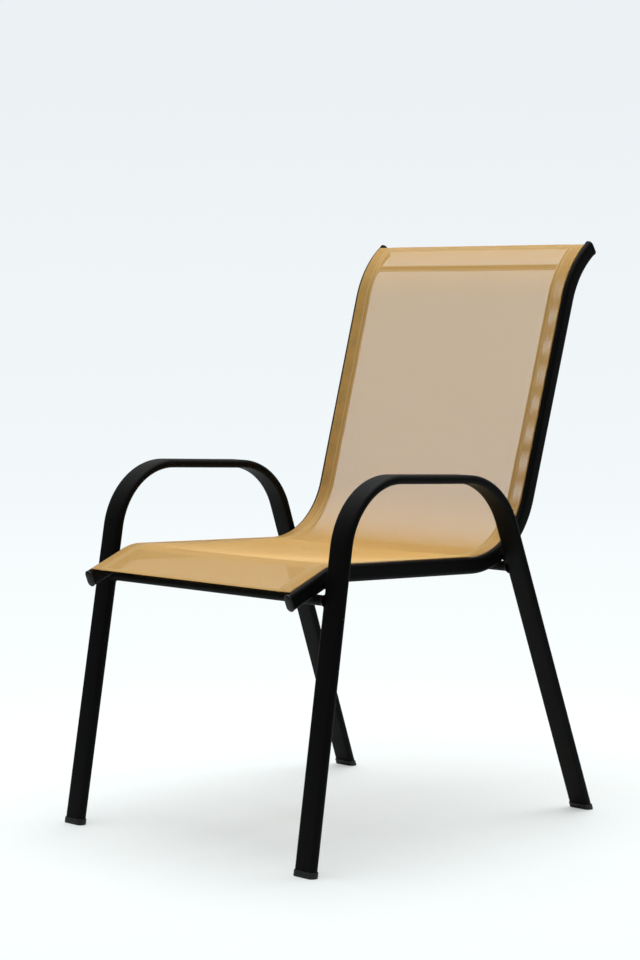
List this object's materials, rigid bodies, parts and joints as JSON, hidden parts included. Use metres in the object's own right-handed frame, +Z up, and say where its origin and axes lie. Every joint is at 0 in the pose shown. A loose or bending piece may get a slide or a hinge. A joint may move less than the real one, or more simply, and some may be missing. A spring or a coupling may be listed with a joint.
{
  "type": "sling patio chair",
  "caption": "Stacking patio armchair: arched flat-oval side frames, bent slotted rails with crossbars, and a taut mesh sling as seat and high back.",
  "frame": {"origin": "middle of the chair's box, on the floor", "axes": "+Z up, the sitter faces -Y, +X is the sitter's left"},
  "size_m": [0.5702, 0.7258, 0.9304],
  "materials": {
    "frame_paint": "satin black powder coat",
    "sling_mesh": "open weave of coated yarn",
    "keder_plastic": "extruded rod",
    "cap_plastic": "moulded, matte"
  },
  "bodies": {
    "root": {"side_frame_left": "frame_paint", "side_frame_right": "frame_paint", "sling_rail_left": "frame_paint", "sling_rail_right": "frame_paint", "front_crossbar": "frame_paint", "rear_crossbar": "frame_paint", "bar_weld_front_left": "frame_paint", "bar_weld_front_right": "frame_paint", "bar_weld_rear_left": "frame_paint", "bar_weld_rear_right": "frame_paint", "rail_weld_front_left": "frame_paint", "rail_weld_front_right": "frame_paint", "rail_weld_rear_left": "frame_paint", "rail_weld_rear_right": "frame_paint", "sling": "sling_mesh", "top_band": "sling_mesh", "keder_rod_left": "keder_plastic", "keder_rod_right": "keder_plastic", "rail_cap_front_left": "cap_plastic", "rail_cap_front_right": "cap_plastic", "rail_cap_top_left": "cap_plastic", "rail_cap_top_right": "cap_plastic", "foot_cap_front_left": "cap_plastic", "foot_cap_front_right": "cap_plastic", "foot_cap_rear_left": "cap_plastic", "foot_cap_rear_right": "cap_plastic"}
  },
  "joints": []
}
